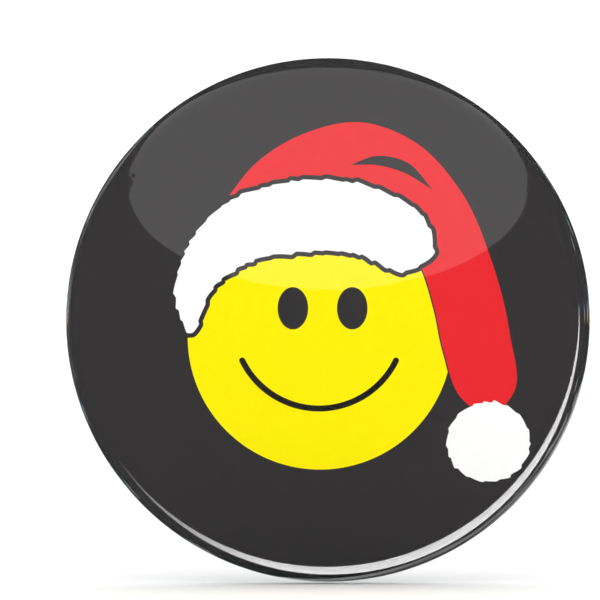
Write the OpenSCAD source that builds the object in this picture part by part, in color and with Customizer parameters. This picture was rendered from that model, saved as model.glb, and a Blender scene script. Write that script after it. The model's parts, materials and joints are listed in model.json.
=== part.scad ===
// Button badge, 57 mm across, with a closed tinplate back and a spring pin.
// A domed tinplate shell is faced with a printed paper disc under clear film. Film and paper are
// wrapped round the rolled rim and tucked in behind it, where the back plate's flange locks them.
// Every piece is drawn lying on the rim's back plane, with its height h above that plane, and
// stand_up() then turns it so that the face looks towards -Y and the artwork's top is +Z.

/* [Badge] */
// Outside diameter of the finished badge
badge_d = 57.2; // [54:0.1:62]
// Radius of the domed face
dome_r = 97; // [90:1:120]
// Radius of the shoulder between the domed face and the side
shoulder_r = 3.5; // [3.2:0.1:4]
// Radius of the rolled rim, at the outside of the film
rim_r = 1.05; // [1:0.05:1.1]
// Height of the badge's widest line above the rim's back plane
side_h = 1.25; // [1.15:0.05:1.6]

/* [Layers] */
// Thickness of the clear film
film_t = 0.10; // [0.08:0.01:0.1]
// Thickness of the printed paper disc
paper_t = 0.12; // [0.1:0.01:0.12]
// Thickness of the tinplate front shell
shell_t = 0.28; // [0.22:0.01:0.3]
// Thickness of the tinplate back plate
plate_t = 0.30; // [0.22:0.01:0.32]
// Air between one layer and the next
layer_gap = 0.03; // [0.02:0.01:0.03]

/* [Back] */
// Width of the wrapped band seen from behind, from the badge's edge to the seam
wrap_w = 1.55; // [1.5:0.01:1.6]
// Outside radius of the fold where film and paper turn into the seam
fold_r = 0.30; // [0.28:0.01:0.32]
// Height above the rim's back plane to which the film is tucked in
tuck_h = 1.45; // [1.2:0.05:1.5]
// Width of the seam between the wrapped band and the back plate
seam_gap = 0.10; // [0.08:0.01:0.15]
// Outside radius of the ridge round the back plate
ridge_r = 0.85; // [0.8:0.01:0.9]
// How far the ridge's crest lies inside the rim's back plane
ridge_drop = 0.30; // [0.2:0.01:0.4]
// Depth of the recess behind the ridge, down to the back plate's floor
floor_depth = 3.10; // [3.1:0.05:3.3]
// Radius of the corner between the recess's wall and its floor
floor_corner_r = 0.40; // [0.3:0.05:0.5]

/* [Pin] */
// Diameter of the spring wire
wire_d = 0.70; // [0.6:0.05:0.7]
// Radius of the coil, to the middle of the wire
coil_r = 0.85; // [0.8:0.01:0.85]
// Number of turns in the coil, always a half turn more than a whole number
coil_turns = 1.5; // [1.5:1:1.5]
// Height of the coil's middle above the badge's middle, as worn
pin_rise = 4; // [2:0.5:6]
// Length of the needle from the coil's middle to its point
needle_len = 36; // [30:0.5:38]
// Length of the needle's tapered point
taper_len = 4; // [3:0.5:4]
// Radius of the needle's very tip
tip_r = 0.04; // [0.03:0.01:0.08]
// Length of the leg that the back plate holds
leg_len = 19; // [18:0.5:20]
// Tilt of the hinge axis out of the plate's plane
hinge_tilt = 45; // [42:1:48]
// Length of the straight piece between the coil's middle and the needle's knee
knee_at = 1.4; // [1.4:0.1:2]
// Angle by which the needle bends in towards the plate at its knee
knee_bend = 1.5; // [1.2:0.1:1.6]

/* [Catch and straps] */
// Width of each strap over the fixed leg
strap_w = 1.8; // [1.4:0.1:2.2]
// Distance of the first strap's middle from the coil's middle
strap_near = 4; // [3:0.5:5]
// Distance of the second strap's middle from the coil's middle
strap_far = 16; // [14:0.5:16]
// Width of the catch
catch_w = 2.6; // [2:0.1:2.6]
// Distance of the catch's middle behind the needle's point
catch_back = 2; // [1.8:0.1:2.2]
// Radius of the space inside the catch
catch_r = 0.42; // [0.4:0.01:0.46]
// How far round the needle the catch's lip reaches
catch_reach = 82; // [70:1:84]
// Air between the fixed leg and its straps
strap_gap = 0.06; // [0.03:0.01:0.08]

/* [Hidden] */
$fn = 96;

// How far a cutting shape runs past what it cuts
cut_over = 1;

// Outside shape: dome, shoulder, side and rolled rim, each arc tangent to the next
badge_r = badge_d / 2;
shoulder_x = badge_r - shoulder_r;
rim_x = badge_r - rim_r;
dome_drop = sqrt(pow(dome_r - shoulder_r, 2) - pow(shoulder_x, 2));
dome_h = side_h - dome_drop;
badge_t = dome_h + dome_r;
shoulder_lean = asin(shoulder_x / (dome_r - shoulder_r));
meet_r = shoulder_r + cut_over;
meet_x = shoulder_x + meet_r * sin(shoulder_lean);
meet_h = side_h + meet_r * cos(shoulder_lean);

// Distance of each layer's outer face from the outside of the film
paper_d = film_t + layer_gap;
shell_d = paper_d + paper_t + layer_gap;

// Wrapped band and seam
wrap_x = badge_r - wrap_w;
fold_x = wrap_x + fold_r;
edge_gap = 0.02;
paper_tuck_h = tuck_h - 0.2;

// Back plate
ridge_out = wrap_x - seam_gap;
ridge_x = ridge_out - ridge_r;
ridge_h = ridge_drop + ridge_r;
wall_x = ridge_x - ridge_r;
lock_bend_r = 0.15;
lock_h = tuck_h + 0.15;
lock_reach = 0.65;

// Pin
wire_r = wire_d / 2;
turn_gap = 0.02;
coil_half = coil_turns * (wire_d + turn_gap) / 2;
coil_drop = coil_r * cos(hinge_tilt) + coil_half * sin(hinge_tilt);
coil_shift = coil_r * sin(hinge_tilt) - coil_half * cos(hinge_tilt);
coil_floor_gap = 0.06;
coil_x = -needle_len / 2;
coil_h = floor_depth - coil_floor_gap - wire_r - coil_drop;
leg_y = pin_rise + coil_shift;
leg_h = coil_h + coil_drop;

// Point of the closed needle's axis at distance d past its knee
function bent_in(d) = d * sin(knee_bend);
function needle_x(d) = coil_x + knee_at + d * cos(knee_bend);
function needle_y(d) = pin_rise - coil_shift + bent_in(d) * sin(hinge_tilt);
function needle_h(d) = coil_h - coil_drop + bent_in(d) * cos(hinge_tilt);
bent_len = needle_len - knee_at;
catch_at = bent_len - catch_back;
catch_x = needle_x(catch_at);
catch_y = needle_y(catch_at);
catch_h = needle_h(catch_at);
window_play = 0.05;

// Turns a piece from the rim's back plane to its place on the upright badge
module stand_up() {
    translate([0, badge_t / 2, 0])
        rotate([90, 0, 0])
            children();
}

// Half section of everything that lies more than d inside the film's outer face
module badge_section(d) {
    intersection() {
        translate([0, dome_h])
            circle(r = dome_r - d, $fn = 720);
        polygon([
            [0, side_h],
            [shoulder_x, side_h],
            [meet_x, meet_h],
            [meet_x, badge_t + cut_over],
            [0, badge_t + cut_over]
        ]);
    }
    intersection() {
        translate([shoulder_x, side_h])
            circle(r = shoulder_r - d);
        translate([0, side_h])
            square([badge_r, shoulder_r]);
    }
    translate([0, rim_r])
        square([badge_r - d, side_h - rim_r]);
    intersection() {
        translate([rim_x, rim_r])
            circle(r = rim_r - d);
        translate([rim_x, 0])
            square([rim_r, rim_r]);
    }
    translate([0, d])
        square([rim_x, rim_r - d]);
}

// Quarter ring in the section plane, reaching towards +x and +h before it is turned
module quarter_ring(r_out, t) {
    intersection() {
        difference() {
            circle(r = r_out);
            circle(r = r_out - t);
        }
        square([r_out, r_out]);
    }
}

// Section of one layer of thickness t that lies d inside the outside, open behind x_open
module layer_section(d, t, x_open) {
    difference() {
        badge_section(d);
        badge_section(d + t);
        translate([-cut_over, -cut_over])
            square([x_open + cut_over, rim_r + cut_over]);
    }
}

// Section of the part of a layer that is folded into the seam
module tuck_section(d, t, top_h) {
    translate([fold_x, fold_r])
        rotate(180)
            quarter_ring(fold_r - d, t);
    translate([wrap_x + d, fold_r])
        square([t, top_h - fold_r]);
}

// Section of the back plate: floor, corner, wall, ridge, flange and lock
module plate_section() {
    corner_x = wall_x - floor_corner_r;
    corner_h = floor_depth - floor_corner_r;
    translate([0, floor_depth])
        square([corner_x, plate_t]);
    translate([corner_x, corner_h])
        quarter_ring(floor_corner_r + plate_t, plate_t);
    translate([wall_x, ridge_h])
        square([plate_t, corner_h - ridge_h]);
    translate([ridge_x, ridge_h])
        rotate(180)
            quarter_ring(ridge_r, plate_t);
    translate([ridge_x, ridge_h])
        rotate(270)
            quarter_ring(ridge_r, plate_t);
    translate([ridge_out - plate_t, ridge_h])
        square([plate_t, lock_h - ridge_h]);
    translate([ridge_out + lock_bend_r, lock_h])
        rotate(90)
            quarter_ring(lock_bend_r + plate_t, plate_t);
    translate([ridge_out + lock_bend_r, lock_h + lock_bend_r])
        square([lock_reach, plate_t]);
}

// Strap lanced out of the back plate and arched over the fixed leg, centred at x
module strap(x) {
    in_r = wire_r + strap_gap;
    out_r = in_r + plate_t;
    cut_r = out_r + cut_over;
    translate([x - strap_w / 2, leg_y, leg_h])
        intersection() {
            rotate([0, 90, 0])
                difference() {
                    cylinder(h = strap_w, r = out_r);
                    translate([0, 0, -cut_over])
                        cylinder(h = strap_w + 2 * cut_over, r = in_r);
                }
            translate([0, -cut_r, -cut_r])
                cube([strap_w, 2 * cut_r, cut_r]);
        }
    for (side = [-1, 1]) {
        translate([x, leg_y + side * (in_r + plate_t / 2), (leg_h + floor_depth + plate_t) / 2])
            cube([strap_w, plate_t, floor_depth + plate_t - leg_h], center = true);
    }
}

// Slot that the strap leaves in the plate's floor
module strap_slot(x) {
    slot_y = 2 * (wire_r + strap_gap);
    translate([x, leg_y, floor_depth + plate_t / 2])
        cube([strap_w, slot_y, plate_t + cut_over], center = true);
}

// Catch lanced out of the back plate: a tab that stands up and curls over the needle's point
module catch() {
    sector_r = catch_r + plate_t + cut_over;
    translate([catch_x - catch_w / 2, catch_y, catch_h])
        intersection() {
            rotate([0, 90, 0])
                difference() {
                    cylinder(h = catch_w, r = catch_r + plate_t);
                    translate([0, 0, -cut_over])
                        cylinder(h = catch_w + 2 * cut_over, r = catch_r);
                }
            rotate([90, 0, 90])
                linear_extrude(catch_w)
                    polygon([
                        [0, 0],
                        [sector_r, 0],
                        [sector_r, -sector_r],
                        [sector_r * cos(catch_reach), -sector_r * sin(catch_reach)]
                    ]);
        }
    translate([catch_x - catch_w / 2, catch_y + catch_r, catch_h])
        cube([catch_w, plate_t, floor_depth + plate_t - catch_h]);
}

// Window that the catch's tab leaves in the plate's floor
module catch_window() {
    window_w = catch_w + 2 * window_play;
    window_y = floor_depth - catch_h + catch_r * catch_reach * PI / 180;
    translate([catch_x - window_w / 2, catch_y + catch_r - window_y, floor_depth - cut_over / 2])
        cube([window_w, window_y, plate_t + cut_over]);
}

// Puts a child in the coil's own frame: z is the hinge axis, and x points along the plate
module coil_frame() {
    translate([coil_x, pin_rise, coil_h])
        rotate([-(90 + hinge_tilt), 0, 0])
            children();
}

// Three quarters of a turn of wire, ending at the given angle
module wire_turn(end_angle) {
    rotate([0, 0, end_angle - 270])
        rotate_extrude(angle = 270)
            translate([coil_r, 0])
                circle(r = wire_r, $fn = 32);
}

module clear_film() {
    color("white", 0.35)
        stand_up()
            rotate_extrude($fn = 180) {
                layer_section(0, film_t, fold_x);
                tuck_section(0, film_t, tuck_h);
            }
}

module printed_disc() {
    color([0.21, 0.20, 0.21])
        stand_up()
            rotate_extrude($fn = 180) {
                layer_section(paper_d, paper_t, fold_x);
                tuck_section(paper_d, paper_t, paper_tuck_h);
            }
}

module front_shell() {
    color("silver")
        stand_up()
            rotate_extrude($fn = 180)
                layer_section(shell_d, shell_t, fold_x + edge_gap);
}

module back_plate() {
    straps = [coil_x + strap_near, coil_x + strap_far];
    color([0.72, 0.75, 0.74])
        stand_up() {
            difference() {
                rotate_extrude($fn = 180)
                    plate_section();
                for (x = straps) {
                    strap_slot(x);
                }
                catch_window();
            }
            for (x = straps) {
                strap(x);
            }
            catch();
        }
}

module pin_spring() {
    color([0.80, 0.80, 0.78])
        stand_up()
            coil_frame() {
                translate([0, 0, -coil_half])
                    wire_turn(270);
                translate([0, -coil_r, -coil_half])
                    rotate([0, 90, 0])
                        cylinder(h = leg_len, r = wire_r, $fn = 32);
            }
}

module pin_needle() {
    shank = bent_len - taper_len;
    color([0.80, 0.80, 0.78])
        stand_up()
            coil_frame()
                translate([0, 0, coil_half]) {
                    wire_turn(360);
                    translate([0, coil_r, 0])
                        rotate([0, 90, 0])
                            cylinder(h = knee_at, r = wire_r, $fn = 32);
                    translate([knee_at, coil_r, 0]) {
                        sphere(r = wire_r, $fn = 32);
                        rotate([0, 90, -knee_bend]) {
                            cylinder(h = shank, r = wire_r, $fn = 32);
                            translate([0, 0, shank])
                                cylinder(h = taper_len, r1 = wire_r, r2 = tip_r, $fn = 32);
                        }
                    }
                }
}

clear_film();
printed_disc();
front_shell();
back_plate();
pin_spring();
pin_needle();
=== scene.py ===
import json
import math
import random

import bmesh
import bpy
import numpy as np
from bpy.props import FloatProperty, FloatVectorProperty, IntProperty, PointerProperty
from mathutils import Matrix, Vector
from mathutils.geometry import delaunay_2d_cdt

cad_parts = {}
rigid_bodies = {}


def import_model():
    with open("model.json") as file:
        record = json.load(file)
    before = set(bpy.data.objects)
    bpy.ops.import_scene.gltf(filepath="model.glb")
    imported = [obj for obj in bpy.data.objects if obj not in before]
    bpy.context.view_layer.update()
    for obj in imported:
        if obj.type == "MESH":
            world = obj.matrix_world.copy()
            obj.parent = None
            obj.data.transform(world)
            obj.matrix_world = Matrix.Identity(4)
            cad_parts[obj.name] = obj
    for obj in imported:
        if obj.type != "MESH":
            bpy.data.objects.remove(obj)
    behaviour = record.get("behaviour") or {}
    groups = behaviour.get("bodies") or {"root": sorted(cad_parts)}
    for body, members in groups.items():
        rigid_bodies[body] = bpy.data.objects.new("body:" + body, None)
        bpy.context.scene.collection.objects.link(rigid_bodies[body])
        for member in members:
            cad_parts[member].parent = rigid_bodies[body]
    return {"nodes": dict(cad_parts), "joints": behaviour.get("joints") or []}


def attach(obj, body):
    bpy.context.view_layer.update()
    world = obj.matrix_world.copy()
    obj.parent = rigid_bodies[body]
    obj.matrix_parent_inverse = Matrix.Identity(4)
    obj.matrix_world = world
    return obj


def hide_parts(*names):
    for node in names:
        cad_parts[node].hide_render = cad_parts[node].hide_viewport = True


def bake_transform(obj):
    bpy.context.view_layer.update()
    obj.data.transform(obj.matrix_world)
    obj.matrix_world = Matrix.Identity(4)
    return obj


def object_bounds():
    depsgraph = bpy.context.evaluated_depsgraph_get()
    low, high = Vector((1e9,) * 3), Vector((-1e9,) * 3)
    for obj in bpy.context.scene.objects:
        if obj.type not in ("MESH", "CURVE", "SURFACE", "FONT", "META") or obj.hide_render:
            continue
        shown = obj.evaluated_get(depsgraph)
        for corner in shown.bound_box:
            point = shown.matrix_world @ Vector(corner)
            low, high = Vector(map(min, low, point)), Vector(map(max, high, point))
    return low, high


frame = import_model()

bl_info = {
    "name": "Button badge",
    "version": (1, 0, 0),
    "blender": (4, 5, 0),
    "location": "View3D > Sidebar > Badge",
    "description": "Makes a round button badge with a printed face, a tinplate back and a spring pin",
    "category": "Add Mesh",
}

# The CAD model's box and joint place everything. The badge stands upright: its axis is Y, the
# face looks towards -Y, and h below is the height above the rim's back plane, towards the face.
CAD_LOW, CAD_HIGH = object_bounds()
BACK_Y = CAD_HIGH.y
BADGE_R = CAD_HIGH.x
HINGE = frame["joints"][0]
HINGE_POINT = Vector(HINGE["pos_m"])
HINGE_AXIS = Vector(HINGE["axis"]).normalized()
BADGE_BODY, NEEDLE_BODY = HINGE["parent"], HINGE["child"]
ALONG = Vector((1, 0, 0))
AWAY = HINGE_AXIS.cross(ALONG)
MM = 0.001
TURN = 2 * math.pi
FILM_IOR = 1.64

# Steps along the shoulder's arc, and how far the paper ends below the film's tucked edge and the
# lock flange lies above it.
SHOULDER_STEPS = 26
PAPER_SHORT = 0.0002
LOCK_ABOVE = 0.00015

# How far the lights stand from what mirrors them.
TOP_LIGHT_AWAY = 0.42
STRIP_LIGHT_AWAY = 0.36
BACK_LIGHT_AWAY = 0.645


# ------------------------------------------------------------------ sizes and colours

def length(name, default, description):
    return FloatProperty(
        name=name, description=description, default=default, min=0, precision=5,
        subtype="DISTANCE", unit="LENGTH",
    )


def colour(name, default, description):
    return FloatVectorProperty(
        name=name, description=description, default=default, min=0, max=1,
        size=3, subtype="COLOR_GAMMA",
    )


def brightness(name, default, description):
    return FloatProperty(name=name, description=description, default=default, min=0)


class BadgeShape(bpy.types.PropertyGroup):
    dome_radius: length("Dome radius", 0.097, "Radius of the domed face")
    shoulder_radius: length("Shoulder radius", 0.0035, "Radius between the domed face and the side")
    rim_radius: length("Rim radius", 0.00105, "Radius of the rolled rim")
    side_height: length("Side height", 0.00125, "Height of the widest line above the back plane")
    wrap_width: length("Wrapped band", 0.00155, "Width of the wrapped band seen from behind")
    fold_radius: length("Fold radius", 0.0003, "Radius of the fold into the seam")
    tuck_height: length("Tuck height", 0.00145, "How far the film is tucked up into the seam")
    film_thickness: length("Film", 0.0001, "Thickness of the clear film")
    paper_thickness: length("Paper", 0.00012, "Thickness of the printed paper")
    layer_gap: length("Gap", 0.00003, "Air between two layers")
    pleat_depth: length("Pleat depth", 0.00012, "Depth of the deepest pleats at the seam")
    pleat_count: IntProperty(
        name="Pleats", description="Number of pleats round the wrapped band", default=120, min=0, max=240,
    )
    segments: IntProperty(
        name="Segments", description="Steps round the badge", default=720, min=64, max=1440,
    )


class BadgeArtwork(bpy.types.PropertyGroup):
    ground: colour("Ground", (0.211, 0.203, 0.207), "Ink of the ground")
    face: colour("Face", (1.0, 0.93, 0.055), "Ink of the face")
    cap: colour("Cap", (0.905, 0.175, 0.20), "Ink of the cap")
    paper: colour("Paper", (0.995, 0.995, 0.99), "The bare paper of the fur")
    line: colour("Lines", (0.15, 0.14, 0.13), "Ink of the smile")
    trim: colour("Trim", (0.67, 0.725, 0.725), "Colour of the unprinted edge of the paper")
    trim_shade: colour("Trim shade", (0.53, 0.57, 0.545), "Darker clouds of the unprinted edge")
    face_radius: length("Face radius", 0.0144, "Radius of the face")
    smile_radius: length("Smile radius", 0.0093, "Radius of the smile's arc")
    stroke: length("Stroke", 0.00066, "Width of the smile's line")
    fur_line: length("Fur line", 0.0005, "Width of the dark line round the fur band")
    art_radius: length("Art radius", 0.0272, "Radius within which the artwork lies")
    scale: FloatProperty(name="Scale", description="Scale of the artwork", default=0.988, min=0.5, max=1.05)


class BadgeBack(bpy.types.PropertyGroup):
    tin: colour("Tinplate", (0.80, 0.825, 0.815), "Colour of the tinplate")
    plate_thickness: length("Plate", 0.0003, "Thickness of the back plate")
    seam_gap: length("Seam", 0.0001, "Width of the seam round the back plate")
    ridge_radius: length("Ridge radius", 0.00085, "Outside radius of the ridge")
    ridge_drop: length("Ridge drop", 0.0003, "How far the ridge lies inside the back plane")
    floor_depth: length("Floor depth", 0.0031, "Depth of the recess")
    floor_corner: length("Floor corner", 0.0004, "Radius between wall and floor")
    lock_bend: length("Lock bend", 0.00015, "Inner radius of the flange's bend")
    lock_reach: length("Lock reach", 0.00065, "Flat width of the lock flange")
    strap_width: length("Strap width", 0.0018, "Width of each strap")
    strap_near: length("First strap", 0.004, "From the coil to the middle of the first strap")
    strap_far: length("Second strap", 0.016, "From the coil to the middle of the second strap")
    strap_gap: length("Strap gap", 0.00006, "Air between the leg and its straps")
    catch_width: length("Catch width", 0.0026, "Width of the catch")
    catch_back: length("Catch set-back", 0.002, "From the needle's point to the catch's middle")
    catch_radius: length("Catch radius", 0.00042, "Radius of the space inside the catch")
    catch_reach: FloatProperty(
        name="Catch reach", description="How far round the needle the lip reaches",
        default=math.radians(82), subtype="ANGLE", unit="ROTATION",
    )


class BadgePin(bpy.types.PropertyGroup):
    nickel: colour("Nickel", (0.83, 0.82, 0.79), "Colour of the plated wire")
    wire: length("Wire", 0.0007, "Diameter of the wire")
    coil_radius: length("Coil radius", 0.00085, "Radius of the coil, to the wire's middle")
    coil_turns: FloatProperty(
        name="Coil turns", description="Turns in the coil", default=1.5, min=0.5, max=3.5,
    )
    coil_half: length("Half coil", 0.00054, "Half the coil's length along the hinge axis")
    needle_length: length("Needle", 0.036, "From the coil's middle to the point")
    knee_at: length("Knee", 0.0014, "From the coil's middle to the needle's knee")
    knee_bend: FloatProperty(
        name="Knee bend", description="Lean of the closed needle", default=math.radians(1.5),
        subtype="ANGLE", unit="ROTATION",
    )
    taper: length("Taper", 0.004, "Length of the tapered point")
    leg: length("Leg", 0.019, "Length of the fixed leg")


class BadgeStage(bpy.types.PropertyGroup):
    floor: colour("Floor", (0.98, 0.98, 0.98), "Colour of the floor")
    surroundings: colour("Surroundings", (0.10, 0.165, 0.15), "What gloss reflects between lights")
    camera_distance: length("Camera distance", 0.5, "From the badge to the camera")
    frame_width: length("Frame width", 0.0649, "Width of the view at the badge")
    look_left: length("Look left", 0.00304, "How far the view's middle lies to the badge's left")
    look_up: length("Look up", 0.00217, "How far the view's middle lies above the badge's middle")
    gloss_rise: length("Gloss rise", 0.0143, "Height of the widest part of the gloss oval")
    gloss_width: length("Gloss width", 0.0216, "Half width of the gloss oval on the face")
    gloss_above: length("Gloss above", 0.0131, "Height of the gloss oval above its widest part")
    gloss_below: length("Gloss below", 0.011, "Height of the gloss oval below its widest part")
    room_light: brightness("Room light", 1.25, "Brightness of the soft light from all round")
    gloss_light: brightness("Gloss light", 0.85, "Brightness of the top light in the gloss")
    edge_light: brightness("Edge light", 11.0, "Brightness of the light along the edge")
    rim_light: brightness("Rim light", 0.8, "Brightness of the light behind the rim")
    back_light: brightness("Back light", 2.6, "Brightness of the lights that the back plate mirrors")


GROUPS = {
    "badge_shape": BadgeShape,
    "badge_artwork": BadgeArtwork,
    "badge_back": BadgeBack,
    "badge_pin": BadgePin,
    "badge_stage": BadgeStage,
}


# ------------------------------------------------------------------ materials

def linear(shade):
    """A display colour as the linear RGBA that a shader takes."""
    def one(c):
        return c / 12.92 if c <= 0.04045 else ((c + 0.055) / 1.055) ** 2.4
    return (*[one(c) for c in shade], 1.0)


class Nodes:
    """A new material's node tree, with short calls for the nodes that this badge uses."""

    def __init__(self, name):
        self.material = bpy.data.materials.new(name)
        self.material.use_nodes = True
        self.tree = self.material.node_tree
        self.tree.nodes.clear()
        self.out = self.add("ShaderNodeOutputMaterial")

    def add(self, kind, **settings):
        node = self.tree.nodes.new(kind)
        for name, value in settings.items():
            if name in node.inputs:
                node.inputs[name].default_value = value
            else:
                setattr(node, name, value)
        return node

    def link(self, source, target):
        self.tree.links.new(source, target)

    def place(self, stretch=(1, 1, 1)):
        """The piece's own coordinates in millimetres, stretched."""
        here = self.add("ShaderNodeTexCoord")
        scale = self.add("ShaderNodeMapping")
        scale.inputs["Scale"].default_value = [1000 * s for s in stretch]
        self.link(here.outputs["Object"], scale.inputs["Vector"])
        return scale.outputs["Vector"]

    def noise(self, where, scale, detail=3.0, rough=0.55):
        node = self.add("ShaderNodeTexNoise", Scale=scale, Detail=detail, Roughness=rough)
        self.link(where, node.inputs["Vector"])
        return node.outputs["Fac"]

    def remap(self, value, low, high, to_low, to_high):
        node = self.add("ShaderNodeMapRange")
        for name, number in (
            ("From Min", low), ("From Max", high), ("To Min", to_low), ("To Max", to_high),
        ):
            node.inputs[name].default_value = number
        self.link(value, node.inputs["Value"])
        return node.outputs["Result"]

    def maths(self, operation, first, second):
        node = self.add("ShaderNodeMath", operation=operation)
        for socket, value in zip(node.inputs, (first, second)):
            if isinstance(value, (int, float)):
                socket.default_value = value
            else:
                self.link(value, socket)
        return node.outputs[0]

    def mix(self, factor, first, second):
        node = self.add("ShaderNodeMix", data_type="RGBA")
        self.link(factor, node.inputs["Factor"])
        for socket, value in ((node.inputs["A"], first), (node.inputs["B"], second)):
            if isinstance(value, tuple):
                socket.default_value = value
            else:
                self.link(value, socket)
        return node.outputs["Result"]

    def bump(self, height, strength, distance):
        node = self.add("ShaderNodeBump", Strength=strength, Distance=distance)
        self.link(height, node.inputs["Height"])
        return node.outputs["Normal"]

    def finish(self, shader):
        self.link(shader.outputs[0], self.out.inputs["Surface"])
        return self.material


def ink_material(name, shade, mottle=0.03):
    """Offset ink with a fine mottle. The film is pressed onto it, so the film's shine is its coat."""
    n = Nodes(name)
    where = n.place()
    cloud = n.noise(where, 0.8, 4)
    grain = n.noise(where, 14, 2)
    base = linear(shade)
    dark = tuple(c * (1 - mottle) for c in base[:3]) + (1,)
    light = tuple(min(1, c * (1 + mottle)) for c in base[:3]) + (1,)
    both = n.maths("MULTIPLY", n.maths("ADD", cloud, grain), 0.5)
    shader = n.add("ShaderNodeBsdfPrincipled", **{"Specular IOR Level": 0.0, "Coat Weight": 1.0})
    shader.inputs["Coat IOR"].default_value = FILM_IOR
    shader.inputs["Coat Roughness"].default_value = 0.022
    n.link(n.bump(n.noise(where, 0.2, 4), 0.03, 0.00002), shader.inputs["Coat Normal"])
    n.link(n.mix(n.remap(both, 0.3, 0.7, 0, 1), dark, light), shader.inputs["Base Color"])
    n.link(n.remap(grain, 0.3, 0.7, 0.5, 0.62), shader.inputs["Roughness"])
    n.link(n.bump(grain, 0.12, 0.00001), shader.inputs["Normal"])
    return n.finish(shader)


def film_material(side_y):
    """Clear film. Behind side_y it lies loose over bare paper and shines by itself, with hairlines;
    in front it is pressed onto the ink, whose coat is its shine."""
    n = Nodes("clear_film")
    apart = n.add("ShaderNodeSeparateXYZ")
    n.link(n.place(), apart.inputs[0])
    loose = n.maths("GREATER_THAN", apart.outputs["Y"], side_y / MM)
    hairline = n.noise(n.place((0.03, 1, 1.4)), 6, 2)
    haze = n.noise(n.place(), 0.2, 4)
    gloss = n.add("ShaderNodeBsdfGlossy", Color=(1, 1, 1, 1))
    rough = n.maths("ADD", n.remap(haze, 0.35, 0.7, 0.012, 0.03), n.remap(hairline, 0.6, 0.75, 0, 0.02))
    n.link(rough, gloss.inputs["Roughness"])
    n.link(n.bump(haze, 0.03, 0.00002), gloss.inputs["Normal"])
    clear = n.add("ShaderNodeBsdfTransparent", Color=(0.985, 0.985, 0.985, 1))
    fresnel = n.add("ShaderNodeFresnel", IOR=FILM_IOR)
    side = n.add("ShaderNodeNewGeometry")
    outer = n.maths("MULTIPLY", n.maths("SUBTRACT", 1.0, side.outputs["Backfacing"]), loose)
    mixed = n.add("ShaderNodeMixShader")
    n.link(n.maths("MULTIPLY", fresnel.outputs[0], outer), mixed.inputs["Fac"])
    n.link(clear.outputs[0], mixed.inputs[1])
    n.link(gloss.outputs[0], mixed.inputs[2])
    return n.finish(mixed)


def metal_material(name, shade, stretch, polish, speckle=0.5):
    """Plated steel: a clouded mirror, faint lines along stretch, hairlines, and pale specks of dust."""
    n = Nodes(name)
    where = n.place()
    cloud = n.noise(where, 0.4, 5, 0.6)
    lines = n.noise(n.place(stretch), 6, 3, 0.6)
    hair = n.noise(n.place((0.5, 1, 0.07)), 9, 2, 0.5)
    specks = n.add("ShaderNodeTexVoronoi", Scale=2.3)
    n.link(where, specks.inputs["Vector"])
    size = n.add("ShaderNodeSeparateColor")
    n.link(specks.outputs["Color"], size.inputs["Color"])
    reach = n.remap(size.outputs[0], 0.6, 1.0, 0.0, 0.15)
    speck = n.maths("LESS_THAN", specks.outputs["Distance"], reach)
    dust = n.maths("MULTIPLY", speck, speckle)
    hairline = n.remap(hair, 0.66, 0.74, 0, 0.16)
    veil = n.maths("ADD", n.remap(lines, 0.5, 0.8, 0.0, 0.05), hairline)
    base = linear(shade)
    dull = tuple(c * f for c, f in zip(base[:3], (0.80, 0.87, 0.85))) + (1,)
    shader = n.add("ShaderNodeBsdfPrincipled")
    n.link(n.mix(n.remap(cloud, 0.35, 0.65, 0, 1), dull, base), shader.inputs["Base Color"])
    n.link(n.maths("SUBTRACT", 0.985, n.maths("ADD", dust, veil)), shader.inputs["Metallic"])
    low, high = polish
    shine = n.maths("ADD", n.remap(lines, 0.35, 0.75, low, high), n.remap(cloud, 0.4, 0.8, 0, 0.03))
    n.link(n.maths("MAXIMUM", shine, n.maths("MULTIPLY", dust, 0.6)), shader.inputs["Roughness"])
    relief = n.maths("ADD", n.maths("MULTIPLY", lines, 0.3), n.maths("ADD", hairline, speck))
    swell = n.bump(n.noise(where, 0.11, 2), 0.07, 0.0004)
    fine = n.add("ShaderNodeBump", Strength=0.2, Distance=0.000006)
    n.link(relief, fine.inputs["Height"])
    n.link(swell, fine.inputs["Normal"])
    n.link(fine.outputs["Normal"], shader.inputs["Normal"])
    return n.finish(shader)


def trim_material(shade, cloud_shade):
    """The unprinted, silvery edge of the paper: clouded, with short streaks across the band."""
    n = Nodes("ink_trim")
    where = n.place()
    apart = n.add("ShaderNodeSeparateXYZ")
    n.link(where, apart.inputs[0])
    turn = n.maths("ARCTAN2", apart.outputs["Z"], apart.outputs["X"])
    around = n.add("ShaderNodeCombineXYZ")
    n.link(n.maths("MULTIPLY", turn, 26.0), around.inputs["X"])
    n.link(n.maths("MULTIPLY", apart.outputs["Y"], 0.1), around.inputs["Y"])
    streaks = n.noise(around.outputs[0], 1.6, 4, 0.65)
    cloud = n.noise(where, 0.07, 3)
    both = n.maths("ADD", n.maths("MULTIPLY", streaks, 0.4), n.maths("MULTIPLY", cloud, 0.6))
    shader = n.add("ShaderNodeBsdfPrincipled", Metallic=0.25)
    tone = n.mix(n.remap(both, 0.40, 0.60, 0, 1), linear(cloud_shade), linear(shade))
    n.link(tone, shader.inputs["Base Color"])
    n.link(n.remap(streaks, 0.3, 0.7, 0.34, 0.5), shader.inputs["Roughness"])
    n.link(n.bump(streaks, 0.25, 0.00003), shader.inputs["Normal"])
    return n.finish(shader)


def light_material(name, shade, radiance):
    """A plain lit panel."""
    n = Nodes(name)
    shader = n.add("ShaderNodeEmission", Color=(*shade, 1), Strength=radiance)
    return n.finish(shader)


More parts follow.
